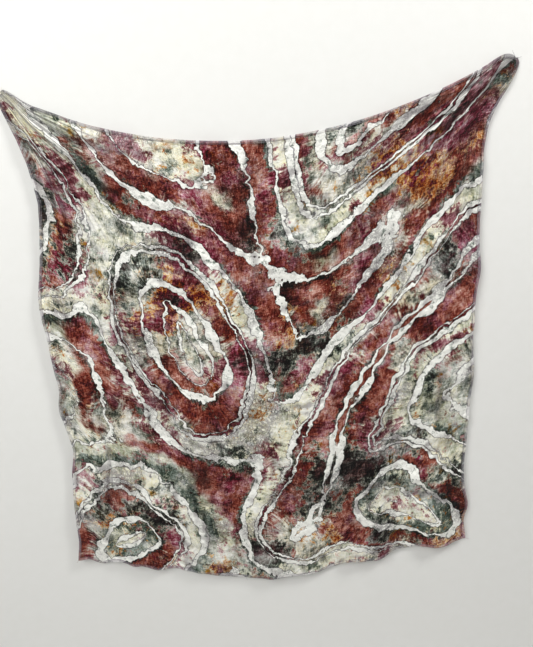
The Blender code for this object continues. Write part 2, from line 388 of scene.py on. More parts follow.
# An uneven layer of the dye: turns in each metre, detail, roughness and seed of its noise, how far
# the streaks feather it, and the noise at which it starts and is whole
Layer = namedtuple("Layer", "turns detail roughness seed feather low high")
MOTTLE = Layer(15.0, 7.0, 0.72, 5.0, 0.3, 0.49, 0.62)
FLECK = Layer(36.0, 6.0, 0.72, 9.0, 0.3, 0.56, 0.66)
RUST_WASH = Layer(4.4, 5.0, 0.62, 61.0, 0.12, 0.590, 0.65)
PALE_WASH = Layer(4.4, 5.0, 0.62, 61.0, 0.12, 0.455, 0.395)
WASH_SHADE = Layer(20.0, 6.0, 0.72, 63.0, 0.2, 0.40, 0.62)
POOLS = Layer(11.0, 7.0, 0.68, 31.0, 0.2, 0.34, 0.69)

# A burst where crystals of dye lay thick: its turns in each metre, where its noise starts and is
# deepest, the seed of its noise, and its colours from the rim to the core. Specks tint the dye.
Burst = namedtuple("Burst", "turns start deepest seed colours")
BURSTS = rows(Burst, (
    (4.6, 0.63, 0.80, 21.0, (CREAM, OCHRE, RASPBERRY, WINE, BROWN_BLACK)),
    (6.0, 0.56, 0.73, 24.0, (PINK, PLUM, RASPBERRY, WINE, BROWN_BLACK)),
    (5.2, 0.57, 0.72, 27.0, (CREAM, SLATE, DARK_SLATE, BROWN_BLACK, BROWN_BLACK)),
))
SPECKS = Burst(12.0, 0.63, 0.82, 29.0, (NO_TINT, OCHRE, OCHRE, RASPBERRY))
BURST_GRAIN = 52.0

# A white vein of undyed cloth: where it lies, in metres out from a geode's outline, its half
# width, how far its edges are jagged, its least width as a share, and the seed of its noise
Vein = namedtuple("Vein", "place half_width jag least seed")
VEINS = rows(Vein, (
    (-0.075, 0.0028, 0.0060, 0.10, 3.0),
    (-0.042, 0.0030, 0.0070, 0.20, 11.0),
    (0.000, 0.0056, 0.0080, 0.50, 19.0),
    (0.066, 0.0028, 0.0080, 0.30, 27.0),
    (0.080, 0.0030, 0.0080, 0.20, 35.0),
    (0.126, 0.0054, 0.0100, 0.40, 43.0),
    (0.192, 0.0056, 0.0100, 0.40, 51.0),
    (0.246, 0.0028, 0.0090, 0.10, 59.0),
    (0.300, 0.0032, 0.0090, 0.10, 67.0),
))
WIDEST_VEIN = 2.40

# The edge of a vein: how soft it is, how far out from it the dark outline starts and is whole,
# and how dark the outline is
VEIN_SOFTNESS = 0.0006
OUTLINE_START = 0.0036
OUTLINE_WHOLE = 0.0010
OUTLINE_STRENGTH = 0.95

# The teeth along the edges of the veins: turns of their noise in each metre, and how far they reach
TEETH_TURNS = 120.0
TEETH_REACH = 0.0060

# How the dye's bands are jagged where the cloth was pleated, as (turns in each metre, reach)
PLEATS = ((15.0, 0.050), (50.0, 0.016))

# Streaks that run outward from the geodes: turns in each metre round them and out from them,
# where they are true, in metres out from the outline, and how far they feather the bands
STREAK_ROUND = 150.0
STREAK_OUT = 20.0
STREAK_PLACE = 0.06
STREAK_REACH = 0.036

# Wrinkles too fine for the mesh, made as bump and as painted shade on their lines, as (lean in
# degrees, turns in each metre one way and the other, seed of their noise)
WRINKLES = (
    (8.0, 90.0, 24.0, 41.0),
    (-48.0, 70.0, 22.0, 44.0),
    (52.0, 80.0, 26.0, 46.0),
    (86.0, 85.0, 24.0, 48.0),
)

# Hairlines where the crinkle took the dye less (a depth under 1) or more, as (lean in degrees, turns
# in each metre one way and the other, seed of their noise, depth on the line)
HAIRLINES = (
    (12.0, 120.0, 15.0, 91.0, 0.66),
    (-64.0, 110.0, 14.0, 93.0, 0.70),
    (80.0, 120.0, 15.0, 95.0, 1.45),
    (-16.0, 110.0, 13.0, 97.0, 1.40),
)

# Creases that fan out from a pin, made as bump and as painted shade: turns of their noise in each
# radian, how far they are whole and how far they reach
FAN_TURNS = 15.0
FAN_WHOLE = 0.08
FAN_REACH = 0.42

# The height of a crease at which painted shade starts in its trough, and at which the shade is darkest
TROUGH_START = 0.0004
TROUGH_DEEPEST = -0.0030

# Threads of the gauze in each metre, and how the dye is uneven along them, in turns in each metre
# beside the threads and along them
WEAVE_TURNS = 1100.0
THREAD_SIDEWAYS = 240.0
THREAD_ALONG = 34.0

# The hem's paint: how far in from the edge the thread's paler colour ends and is whole, and how
# far beside the inner stitches the painted shade along the hem's step ends and is whole
HEM_PAINT_END = 0.0052
HEM_PAINT_WHOLE = 0.0032
LINE_END = 0.0026
LINE_WHOLE = 0.0008

# How far the wrinkles, the slack and the weave of the cloth stand out as bump
BUMP_HEIGHT = 0.0042

# Camera, worked out from the photo: its place beside, in front of and below the origin, how far
# it looks down and is rolled, and its focal length as a share of the picture's long side
CAMERA_X = 0.001
CAMERA_DISTANCE = 1.21
CAMERA_HEIGHT = -0.1435
CAMERA_PITCH = 13.0
CAMERA_ROLL = -2.0
FOCAL_SHARE = 513.0 / 647.0
SENSOR = 36.0

# Stage: how far the floor lies below the cloth, how far the wall lies behind the pins, its size
FLOOR_DROP = 0.58
WALL_GAP = 0.001
STAGE_SIZE = 12.0

# Light: how strong the white world is, and the round lamps, each with its place, what it shines
# at, how wide it is, its power in watts and its colour
WORLD_STRENGTH = 0.22
Lamp = namedtuple("Lamp", "name place target size power colour")
LAMPS = rows(Lamp, (
    ("window", (-1.3, -1.8, 1.1), (-0.3, 0.0, -0.1), 1.6, 50.0, (1.0, 1.0, 0.98)),
    ("key", (1.7, -1.1, 1.7), (0.0, 0.0, -0.4), 0.7, 50.0, (1.0, 0.99, 0.97)),
    ("behind", (0.6, 2.6, 0.9), (0.0, 0.0, -0.45), 2.4, 60.0, (1.0, 1.0, 1.0)),
))


def ridge(distance, half_width):
    """A soft ridge: 1 on its line, about a third at half_width from it, and next to 0 beyond."""
    return np.exp(-((distance / half_width) ** 2))


def turned(x, y, angle):
    """Points turned about the origin, with their two parts on the last axis."""
    sine, cosine = np.sin(angle), np.cos(angle)
    return np.stack([x * cosine - y * sine, x * sine + y * cosine], axis=-1)


def unit(vectors):
    return vectors / np.linalg.norm(vectors, axis=-1, keepdims=True)


def swelling(swells, place):
    return sum(swell.outward * ridge(place - swell.place, swell.half_length) for swell in swells)


def catenary_height(x):
    return CATENARY_RADIUS * (np.cosh((x - LOWEST_X) / CATENARY_RADIUS) - 1.0)


def top_hem(across):
    x = (across - 0.5) * TIP_SPAN
    return x, catenary_height(x) - catenary_height(0.0) + swelling(TOP_SWELLS, across)


def side_hem(hem, down):
    top_z = top_hem((1.0 + hem.side) / 2.0)[1]
    flare = (TIP_SPAN / 2.0 - hem.reach) * ridge(down, hem.flare_length)
    x = hem.side * (hem.reach + flare + swelling(hem.swells, down))
    return x, top_z + (hem.corner_z - top_z) * down


def bottom_hem(across):
    left_x = side_hem(LEFT_HEM, 1.0)[0]
    right_x = side_hem(RIGHT_HEM, 1.0)[0]
    chord_z = LEFT_HEM.corner_z + (RIGHT_HEM.corner_z - LEFT_HEM.corner_z) * across
    belly = BELLY * np.sin(np.pi * across) ** 2
    corner_calm = 1.0 - ridge(across, CORNER_CALM) - ridge(1.0 - across, CORNER_CALM)
    z = chord_z - belly - corner_calm * swelling(BOTTOM_SWELLS, across)
    return left_x + (right_x - left_x) * across, z


def pin_distances(across, down):
    from_left = np.hypot(across, down) * CUT_SIDE
    from_right = np.hypot(1.0 - across, down) * CUT_SIDE
    return from_left, from_right


def between_ends(across, down, axis):
    """x (axis 0) or z (axis 1) of a place on the straight line from the top hem to the bottom hem."""
    return (1.0 - down) * top_hem(across)[axis] + down * bottom_hem(across)[axis]


def between_hems(across, down):
    """(x, z) of places on the cloth, spread evenly between the four hems as a Coons patch."""
    place = []
    for axis in (0, 1):
        left = side_hem(LEFT_HEM, down)[axis] - between_ends(0.0, down, axis)
        right = side_hem(RIGHT_HEM, down)[axis] - between_ends(1.0, down, axis)
        place.append(between_ends(across, down, axis) + (1.0 - across) * left + across * right)
    from_left, from_right = pin_distances(across, down)
    left_pull = TIP_PULL * ridge(from_left, TIP_PULL_LENGTH)
    right_pull = TIP_PULL * ridge(from_right, TIP_PULL_LENGTH)
    return place[0] + left_pull - right_pull, place[1] - left_pull - right_pull


def pin_fold_height(folds, inward, downward):
    radius = np.hypot(inward, downward)
    height = 0.0
    for fold in folds:
        turn = np.arctan2(downward, inward) - math.radians(fold.angle)
        off_line = radius * np.sin(turn)
        envelope = (1.0 - ridge(radius, PIN_FOLD_START)) * ridge(radius, fold.reach)
        height += fold.height * envelope * ridge(off_line, fold.width + fold.spread * radius)
    return height


def flute_height(across, down):
    height = 0.0
    for flute in HEM_FLUTES:
        line = flute.across + flute.lean * (1.0 - down)
        reach = ridge(1.0 - down, flute.reach)
        height += flute.height * reach * ridge(across - line, flute.half_width)
    return height


def long_fold_height(folds, across, down):
    height = 0.0
    for fold in folds:
        run_across = fold.end_across - fold.across
        run_down = fold.end_down - fold.down
        length = math.hypot(run_across, run_down)
        to_across = across - fold.across
        to_down = down - fold.down
        share = (to_across * run_across + to_down * run_down) / length**2
        aside = (to_across * run_down - to_down * run_across) / length
        arch = np.sin(np.pi * np.clip(share, 0.0, 1.0))
        height += fold.height * arch**2 * ridge(aside + fold.bow * arch, fold.half_width)
    return height


def wave_height(across, down):
    height = 0.0
    for wave in UNEVEN_WAVES:
        turns = wave.turns_across * across + wave.turns_down * down + wave.start
        height += wave.height * np.sin(2.0 * np.pi * turns)
    return height


def stand_off(across, down):
    """Distance of places on the cloth from the wall, without the finer creases."""
    held = sum(ridge(distance, PIN_HOLD) for distance in pin_distances(across, down))
    folds = pin_fold_height(LEFT_PIN_FOLDS, across * CUT_SIDE, down * CUT_SIDE)
    folds += pin_fold_height(RIGHT_PIN_FOLDS, (1.0 - across) * CUT_SIDE, down * CUT_SIDE)
    free = flute_height(across, down) + long_fold_height(LONG_FOLDS, across, down)
    free += wave_height(across, down)
    return PIN_STAND + (1.0 - held) * (BODY_STAND - PIN_STAND + free) + folds


def smooth_noise(across, down, across_scale, down_scale, seed):
    """Smooth noise, about -1 to 1, over places on the cloth, in turns for each metre of it."""
    turns_across = (across * CUT_SIDE * across_scale).ravel()
    turns_down = (down * CUT_SIDE * down_scale).ravel()
    values = [noise.noise(Vector((x, y, seed))) for x, y in zip(turns_across, turns_down)]
    return np.array(values).reshape(across.shape)


def crinkle_height(across, down):
    """Short wrinkles in patches, strong here and weak there, as washed gauze dries."""
    height = 0.0
    for number, crinkle in enumerate(CRINKLES):
        seed = 5.0 + 7.0 * number
        lines = smooth_noise(across, down, crinkle.across_scale, crinkle.down_scale, seed)
        patches = smooth_noise(across, down, PATCH_TURNS, PATCH_TURNS, seed + 3.0)
        strength = np.clip(PATCH_MEAN + PATCH_SWING * patches, PATCH_LEAST, PATCH_MOST)
        height = height + crinkle.height * strength * (0.45 - 2.0 * np.abs(lines))
    return height


def grid_lines():
    """Shares of the cut side at which the cloth is divided: the hem, its step, and even cells."""
    hem = HEM_WIDTH / CUT_SIDE
    inner = hem + HEM_STEP / CUT_SIDE
    hem_lines = hem * np.arange(HEM_CELLS + 1) / HEM_CELLS
    even = inner + (1.0 - 2.0 * inner) * np.linspace(0.0, 1.0, INNER_CELLS + 1)
    return np.concatenate([hem_lines, even, 1.0 - hem_lines[::-1]])


class HungCloth:
    """The middle of the cloth's thickness as a grid of points, with the way out of its face."""

    def __init__(self):
        self.lines = grid_lines()
        self.across, self.down = np.meshgrid(self.lines, self.lines)
        self.crease = self.crease_height()
        x, z = between_hems(self.across, self.down)
        y = stand_off(0.5, 0.0) - stand_off(self.across, self.down) - self.crease
        self.points = np.stack([x, y, z], axis=-1)
        along_down, along_across = np.gradient(self.points, self.lines, self.lines, axis=(0, 1))
        self.outward = unit(np.cross(along_down, along_across))
        self.dye = self.dye_layout()

    def dye_layout(self):
        """What the dye's material reads at each point, by the name that it reads it under."""
        out, mood = dye_field(self.across, self.down)
        steep, slope = dye_slope(out, self.lines)
        flat = np.stack([self.across, self.down, np.zeros_like(out)], axis=-1) * CUT_SIDE
        return {
            "flat_place": flat,
            "dye_out": out,
            "dye_mood": mood,
            "dye_steep": steep,
            "dye_slope": slope,
            "crease": self.crease,
        }

    def lay_dye(self, mesh, across, down):
        """Gives the points of a mesh the dye of the places on the cloth where they lie."""
        for name, values in self.dye.items():
            point_attribute(mesh, name, self.look_up(values, across, down))

    def crease_height(self):
        """The finer creases and the crinkle, which the stiffer hem takes up less."""
        across, down = self.across, self.down
        from_side = np.minimum(across, 1.0 - across)
        from_end = np.minimum(down, 1.0 - down)
        to_hem = np.minimum(from_side, from_end) * CUT_SIDE
        fine = long_fold_height(CREASES, across, down) + crinkle_height(across, down)
        ruffle = smooth_noise(across, down, RUFFLE_TURNS, RUFFLE_TURNS, 71.0)
        ruffle = RUFFLE_HEIGHT * ruffle * ridge(to_hem, RUFFLE_WIDTH)
        return fine * (1.0 - HEM_STIFFNESS * ridge(to_hem, HEM_WIDTH)) + ruffle

    def look_up(self, values, across, down):
        """Values of the grid at any places, run on in a straight line past the hem."""
        last = len(self.lines) - 2
        column = np.clip(np.searchsorted(self.lines, across) - 1, 0, last)
        row = np.clip(np.searchsorted(self.lines, down) - 1, 0, last)
        right = (across - self.lines[column]) / (self.lines[column + 1] - self.lines[column])
        below = (down - self.lines[row]) / (self.lines[row + 1] - self.lines[row])
        each = (-1,) + (1,) * (values.ndim - 2)
        right = right.reshape(each)
        below = below.reshape(each)
        upper = (1.0 - right) * values[row, column] + right * values[row, column + 1]
        lower = (1.0 - right) * values[row + 1, column] + right * values[row + 1, column + 1]
        return (1.0 - below) * upper + below * lower

    def off_face(self, across, down, stand):
        """Points a little off the middle of the cloth, in front of it where stand is above 0."""
        points = self.look_up(self.points, across, down)
        return points + self.look_up(self.outward, across, down) * stand[:, None]


def geode_outline(geode):
    """A closed rounded outline in metres of flat cloth, broader at one end and a little bent."""
    angle = np.linspace(0.0, 2.0 * np.pi, GEODE_SIDES, endpoint=False)
    along = geode.half_length * np.cos(angle)
    aside = geode.half_width * np.sin(angle) * (1.0 + geode.egg * np.cos(angle))
    aside = aside + geode.bend * np.cos(angle) ** 2
    middle = np.array([geode.across, geode.down]) * CUT_SIDE
    return middle + turned(along, aside, math.radians(geode.turn))


def distance_to(outline, across, down):
    """Distance in metres from places of flat cloth to a closed outline, below 0 inside it."""
    nearest = np.full(across.shape, np.inf)
    inside = np.zeros(across.shape, bool)
    for start, end in zip(outline, np.roll(outline, -1, axis=0)):
        run = end - start
        share = ((across - start[0]) * run[0] + (down - start[1]) * run[1]) / (run @ run)
        share = np.clip(share, 0.0, 1.0)
        gap = np.hypot(across - start[0] - share * run[0], down - start[1] - share * run[1])
        nearest = np.minimum(nearest, gap)
        if run[1] != 0.0:
            level = (start[1] > down) != (end[1] > down)
            edge = start[0] + (down - start[1]) * run[0] / run[1]
            inside ^= level & (across < edge)
    return np.where(inside, -nearest, nearest)


def dye_field(across, down):
    """How far out each place lies from the geodes, merged into one, and the mood of its dye."""
    flat_across = across * CUT_SIDE
    flat_down = down * CUT_SIDE
    for number, (turns, reach) in enumerate(DYE_WARP):
        flat_across = flat_across + reach * smooth_noise(across, down, turns, turns, 31.0 + number)
        flat_down = flat_down + reach * smooth_noise(across, down, turns, turns, 36.0 + number)
    outlines = [geode_outline(geode) for geode in GEODES]
    distances = np.array([distance_to(outline, flat_across, flat_down) for outline in outlines])
    merged = -MERGE_LENGTH * np.log(np.sum(np.exp(-distances / MERGE_LENGTH), axis=0))
    weights = np.exp(-(distances - distances.min(axis=0)) / SHARE_LENGTH)
    weights = weights / np.sum(weights, axis=0)
    spacing = sum(geode.spacing * weight for geode, weight in zip(GEODES, weights))
    mood = sum(geode.mood * weight for geode, weight in zip(GEODES, weights))
    return merged / spacing, mood


def dye_slope(out, lines):
    """How steeply the dye field rises, and the step over flat cloth that goes one metre out."""
    by_down, by_across = np.gradient(out, lines * CUT_SIDE, lines * CUT_SIDE)
    steep = np.maximum(np.hypot(by_across, by_down), LEAST_SLOPE)
    return steep, np.stack([by_across, by_down, np.zeros_like(out)], axis=-1) / steep[..., None] ** 2


def point_attribute(mesh, name, values):
    """Stores a number or a vector for each point of the mesh."""
    kind, field = ("FLOAT", "value") if values.ndim == 1 else ("FLOAT_VECTOR", "vector")
    stored = mesh.attributes.new(name, kind, "POINT")
    stored.data.foreach_set(field, np.ascontiguousarray(values, np.float32).ravel())


def new_object(name, mesh, material):
    mesh.materials.clear()
    mesh.materials.append(material)
    mesh.shade_smooth()
    piece = bpy.data.objects.new(name, mesh)
    bpy.context.scene.collection.objects.link(piece)
    return piece


def flat_grid(name, cells, size):
    """A level square mesh, with so many cells each way."""
    shape = bmesh.new()
    bmesh.ops.create_grid(shape, x_segments=cells, y_segments=cells, size=size / 2.0)
    mesh = bpy.data.meshes.new(name)
    shape.to_mesh(mesh)
    shape.free()
    return mesh


def build_cloth(hung, material):
    """The cloth: a flat grid bent to its hanging shape, with its dye laid out, then thickened."""
    cells = len(hung.lines) - 1
    mesh = flat_grid("dyed_gauze_cloth", cells, 1.0)
    column = np.array([round((vertex.co.x + 0.5) * cells) for vertex in mesh.vertices])
    row = np.array([round((0.5 - vertex.co.y) * cells) for vertex in mesh.vertices])
    mesh.vertices.foreach_set("co", hung.points[row, column].astype(np.float32).ravel())
    hung.lay_dye(mesh, hung.lines[column], hung.lines[row])
    from_side = np.minimum(column, cells - column)
    from_end = np.minimum(row, cells - row)
    on_hem = np.minimum(from_side, from_end) <= HEM_CELLS
    cloth = new_object("dyed_gauze_cloth", mesh, material)
    thicken(cloth, np.nonzero(on_hem)[0])
    return cloth


def thicken(cloth, hem_points):
    """Gives the sheet its two faces, further apart at the hem, and keeps the result as its mesh."""
    hem = cloth.vertex_groups.new(name="hem")
    hem.add([int(point) for point in hem_points], 1.0, "REPLACE")
    solidify = cloth.modifiers.new("thickness", "SOLIDIFY")
    solidify.thickness = HEM_THICKNESS
    solidify.offset = 0.0
    solidify.vertex_group = hem.name
    solidify.thickness_vertex_group = GAUZE_THICKNESS / HEM_THICKNESS
    bpy.context.view_layer.update()
    graph = bpy.context.evaluated_depsgraph_get()
    solid = bpy.data.meshes.new_from_object(cloth.evaluated_get(graph))
    sheet = cloth.data
    cloth.modifiers.clear()
    cloth.data = solid
    bpy.data.meshes.remove(sheet)
    solid.name = "dyed_gauze_cloth"


def hem_path(steps):
    """Places once round the cloth's edge, and the way in from it, both in metres of flat cloth."""
    straight = CUT_SIDE - 2.0 * CORNER_ROUND
    corner = CORNER_ROUND * np.pi / 2.0
    along = np.linspace(0.0, 4.0 * (straight + corner), steps, endpoint=False)
    side = np.floor(along / (straight + corner))
    rest = along - side * (straight + corner)
    turn = np.clip((rest - straight) / CORNER_ROUND, 0.0, None)
    run = np.minimum(rest, straight)
    middle = CUT_SIDE / 2.0
    from_across = CORNER_ROUND + run + CORNER_ROUND * np.sin(turn) - middle
    from_down = CORNER_ROUND * (1.0 - np.cos(turn)) - middle
    angle = side * np.pi / 2.0
    return middle + turned(from_across, from_down, angle), turned(-np.sin(turn), np.cos(turn), angle)


def tube(path, aside, closed):
    """Points and faces of a thread along a path; aside is never along it."""
    if closed:
        ahead = np.roll(path, -1, axis=0) - np.roll(path, 1, axis=0)
    else:
        ahead = np.gradient(path, axis=0)
    first = unit(np.cross(ahead, aside))
    second = unit(np.cross(ahead, first))
    angle = 2.0 * np.pi * np.arange(THREAD_SIDES) / THREAD_SIDES
    ring = first[:, None] * np.cos(angle)[None, :, None]
    ring = ring + second[:, None] * np.sin(angle)[None, :, None]
    points = (path[:, None] + THREAD_RADIUS * ring).reshape(-1, 3)
    count = len(path)
    start = np.arange(count if closed else count - 1)[:, None] * THREAD_SIDES
    following = (start + THREAD_SIDES) % (count * THREAD_SIDES)
    corner = np.arange(THREAD_SIDES)[None]
    beside = (corner + 1) % THREAD_SIDES
    faces = [start + corner, following + corner, following + beside, start + beside]
    faces = np.stack(faces, axis=-1).reshape(-1, 4).tolist()
    if not closed:
        faces.append(list(range(THREAD_SIDES)))
        faces.append(list(range((count - 1) * THREAD_SIDES, count * THREAD_SIDES))[::-1])
    return points, faces


def join_tubes(name, threads, hung, material):
    """One mesh object from threads, each as its places on the cloth, path, side and whether closed."""
    points = []
    faces = []
    places = []
    for at, path, aside, closed in threads:
        tube_points, tube_faces = tube(path, aside, closed)
        offset = len(points)
        points.extend(tube_points.tolist())
        faces.extend([[corner + offset for corner in face] for face in tube_faces])
        places.append(np.repeat(at, THREAD_SIDES, axis=0))
    mesh = bpy.data.meshes.new(name)
    mesh.from_pydata(points, [], faces)
    shape = bmesh.new()
    shape.from_mesh(mesh)
    bmesh.ops.recalc_face_normals(shape, faces=shape.faces)
    shape.to_mesh(mesh)
    shape.free()
    hung.lay_dye(mesh, *np.concatenate(places).T)
    return new_object(name, mesh, material)


def overlock_loops(hung):
    """The thread that winds round the hem's edge, one loop for each stitch."""
    stitches = round(4.0 * CUT_SIDE / STITCH_LENGTH)
    places, inward = hem_path(stitches * STITCH_STEPS)
    phase = 2.0 * np.pi * np.arange(len(places)) / STITCH_STEPS
    middle = (STITCH_INNER - STITCH_OUTER) / 2.0
    reach = (STITCH_INNER + STITCH_OUTER) / 2.0
    at = (places + inward * (middle - reach * np.cos(phase))[:, None]) / CUT_SIDE
    path = hung.off_face(*at.T, STITCH_STAND * np.sin(phase))
    hem = hung.look_up(hung.points, *(places / CUT_SIDE).T)
    return at, path, np.roll(hem, -STITCH_STEPS, axis=0) - hem, True


def needle_line(hung, stand):
    """The straight thread along the inner side of the stitches, on one face of the cloth."""
    steps = round(4.0 * CUT_SIDE / STITCH_LENGTH)
    places, inward = hem_path(steps)
    at = (places + inward * STITCH_INNER) / CUT_SIDE
    path = hung.off_face(*at.T, np.full(steps, stand))
    return at, path, hung.look_up(hung.outward, *at.T), True


def thread_end(hung, end):
    """A loose end of thread, curling away from the hem in the plane of the cloth."""
    here = np.array([end.across]), np.array([end.down])
    start = hung.look_up(hung.points, *here)[0]
    share = np.linspace(0.0, 1.0, THREAD_END_STEPS)
    heading = math.radians(end.heading)
    forward = np.array([math.cos(heading), 0.0, math.sin(heading)])
    sideways = np.array([-math.sin(heading), 0.0, math.cos(heading)])
    curl = end.curl * np.sin(CURL_TURN * share) * share
    path = start + forward * (end.length * share)[:, None] + sideways * curl[:, None]
    at = np.tile([end.across, end.down], (THREAD_END_STEPS, 1))
    return at, path, np.tile([0.0, 1.0, 0.0], (THREAD_END_STEPS, 1)), False


def build_stitching(hung, material):
    threads = [overlock_loops(hung)] + [needle_line(hung, side * STITCH_STAND) for side in (1, -1)]
    return join_tubes("hem_stitching", threads, hung, material)


def build_thread_ends(hung, material):
    threads = [thread_end(hung, end) for end in THREAD_ENDS]
    return join_tubes("hem_thread_ends", threads, hung, material)


def socket(sockets, identifier):
    return next(each for each in sockets if each.identifier == identifier)


class Value:
    """A number, vector or colour that a material works out. Each sign adds one Math node."""

    def __init__(self, output):
        self.output = output

    def __add__(self, other):
        return calculate("ADD", self, other)

    def __sub__(self, other):
        return calculate("SUBTRACT", self, other)

    def __rsub__(self, other):
        return calculate("SUBTRACT", other, self)

    def __mul__(self, other):
        return calculate("MULTIPLY", self, other)

    def __truediv__(self, other):
        return calculate("DIVIDE", self, other)

    def __abs__(self):
        return calculate("ABSOLUTE", self)


def feed(target, value):
    """Links a socket to a worked out value, or sets it to a plain one."""
    if isinstance(value, Value):
        target.id_data.links.new(value.output, target)
    else:
        target.default_value = value


def add_node(tree, kind, output, inputs, **settings):
    """Adds one node with its settings and inputs, and gives one of its outputs."""
    node = tree.nodes.new("ShaderNode" + kind)
    for name, value in settings.items():
        setattr(node, name, value)
    for identifier, value in inputs.items():
        feed(socket(node.inputs, identifier), value)
    return Value(socket(node.outputs, output))


def follow(kind, output, inputs, **settings):
    """Adds one node to the tree that its worked out inputs are in."""
    tree = next(value.output.id_data for value in inputs.values() if isinstance(value, Value))
    return add_node(tree, kind, output, inputs, **settings)


def attribute(tree, name, output):
    return add_node(tree, "Attribute", output, {}, attribute_name=name)


def calculate(operation, *numbers):
    inputs = dict(zip(("Value", "Value_001"), numbers))
    return follow("Math", "Value", inputs, operation=operation)


def combine(operation, *vectors):
    inputs = dict(zip(("Vector", "Vector_001"), vectors))
    return follow("VectorMath", "Vector", inputs, operation=operation)


def parts(vector):
    """The across and the down part of a vector."""
    across = follow("SeparateXYZ", "X", {"Vector": vector})
    return across, Value(socket(across.output.node.outputs, "Y"))


def whole(x, y, z):
    return follow("CombineXYZ", "Vector", {"X": x, "Y": y, "Z": z})


def cloud(place, scale, detail=2.0, roughness=0.5, seed=0.0):
    """Noise of 0 to 1, about a half on average, with a part of the noise for each seed."""
    place = combine("ADD", place, (0.0, 0.0, seed))
    inputs = {"Vector": place, "Scale": scale, "Detail": detail, "Roughness": roughness}
    return follow("TexNoise", "Fac", inputs)


def step(value, low, high, to_low=0.0, to_high=1.0, way="SMOOTHSTEP"):
    """A soft step between low and high, or an even slope where way is LINEAR."""
    inputs = {"Value": value, "From Min": low, "From Max": high, "To Min": to_low, "To Max": to_high}
    return follow("MapRange", "Result", inputs, interpolation_type=way)


def blend(share, first, second, way="MIX"):
    """A share of the second colour over the first, or as a tint where way is MULTIPLY."""
    inputs = {"Factor_Float": share, "A_Color": first, "B_Color": second}
    return follow("Mix", "Result_Color", inputs, data_type="RGBA", blend_type=way)


def ramp(value, stops):
    """A colour ramp over 0 to 1 with a list of (place, colour) stops."""
    colour = follow("ValToRGB", "Color", {"Fac": value})
    elements = colour.output.node.color_ramp.elements
    elements[0].position, elements[0].color = stops[0]
    elements[1].position, elements[1].color = stops[-1]
    for place, shade in stops[1:-1]:
        elements.new(place).color = shade
    return colour


def band_stops(bands, column):
    """Ramp stops for one column of a table of bands: each band flat, its two edges soft."""
    width = BAND_END - BAND_START
    starts = [(band.start - BAND_START) / width for band in bands] + [1.0]
    softness = BAND_SOFTNESS / width / 2.0
    stops = []
    for number, band in enumerate(bands):
        colour = getattr(band, column)
        stops.append((max(starts[number] + softness, 0.0), colour))
        stops.append((min(starts[number + 1] - softness, 1.0), colour))
    return stops


def pleated(place, out):
    """How far out a place lies, jagged as the dye is where the cloth was pleated."""
    for number, (turns, reach) in enumerate(PLEATS):
        fold = abs(cloud(place, turns, 1.0, seed=7.0 + number) - 0.5)
        out = (fold - 0.1) * reach + out
    return out


def streak_noise(place, out, slope):
    """Noise drawn out into streaks that run outward from the geodes."""
    inputs = {"Vector": slope, "Scale": out - STREAK_PLACE}
    foot = combine("SUBTRACT", place, follow("VectorMath", "Vector", inputs, operation="SCALE"))
    lengthwise = whole(0.0, 0.0, out * (STREAK_OUT / STREAK_ROUND))
    return cloud(combine("ADD", foot, lengthwise), STREAK_ROUND, 2.0, 0.6)


def uneven(place, feather, layer, to_low=0.0, to_high=1.0):
    """One uneven layer of the dye, from to_low where there is none of it to to_high."""
    value = cloud(place, layer.turns, layer.detail, layer.roughness, seed=layer.seed)
    return step(feather * layer.feather + value, layer.low, layer.high, to_low, to_high)


def mood_colour(level, mood, column):
    """One column of the band tables at a level, warm or cool with the mood."""
    warm, cool = [ramp(level, band_stops(bands, column)) for bands in (WARM_BANDS, COOL_BANDS)]
    return blend(mood, warm, cool)


def band_colour(place, out, mood, feather):
    """The bands of dye, feathered by streaks, mottled and flecked."""
    level = step(feather * STREAK_REACH + out, BAND_START, BAND_END, way="LINEAR")
    mood = step(mood + cloud(place, 7.0, 3.0, 0.6, seed=3.0), 0.92, 1.08)
    colour = mood_colour(level, mood, "colour")
    colour = blend(uneven(place, feather, MOTTLE), colour, mood_colour(level, mood, "mottle"))
    return blend(uneven(place, feather, FLECK), colour, mood_colour(level, mood, "fleck"))


def paint_washes(colour, place, feather):
    """Broad areas where the rust ran over the bands, or where they stayed pale."""
    shade = uneven(place, feather, WASH_SHADE)
    colour = blend(uneven(place, feather, RUST_WASH, 0.0, 0.85), colour, blend(shade, RUST, WINE))
    return blend(uneven(place, feather, PALE_WASH, 0.0, 0.9), colour, blend(shade, CREAM, SLATE))


def wrinkle_lines(place, lean, turns_along, turns_beside, seed):
    """Wrinkles that lean so many degrees, rising evenly from 0 between them to 1 on them."""
    inputs = {"Vector": place, "Angle": math.radians(lean)}
    leaning = follow("VectorRotate", "Vector", inputs, rotation_type="Z_AXIS")
    value = cloud(combine("MULTIPLY", leaning, (turns_along, turns_beside, 1.0)), 1.0, seed=seed)
    return step(abs(value - 0.5), 0.14, 0.0, way="LINEAR")


def along_threads(place, stretch, seed):
    """Noise drawn out along the gauze's threads one way."""
    return cloud(combine("MULTIPLY", place, stretch), 1.0, 3.0, 0.6, seed)


def dye_depth(place, feather):
    """How deeply the dye took: under 1 where the melting ice thinned it, over 1 where it pooled."""
    warp = along_threads(place, (THREAD_SIDEWAYS, THREAD_ALONG, 1.0), 34.0)
    weft = along_threads(place, (THREAD_ALONG, THREAD_SIDEWAYS, 1.0), 37.0)
    fine = step((warp + weft) * 0.5, 0.38, 0.62, 0.82, 1.22)
    depth = uneven(place, feather, POOLS, 0.46, 2.50) * fine
    for lean, along, beside, seed, on_line in HAIRLINES:
        lines = wrinkle_lines(place, lean, along, beside, seed)
        depth = depth * step(lines, 0.70, 1.0, 1.0, on_line)
    return depth


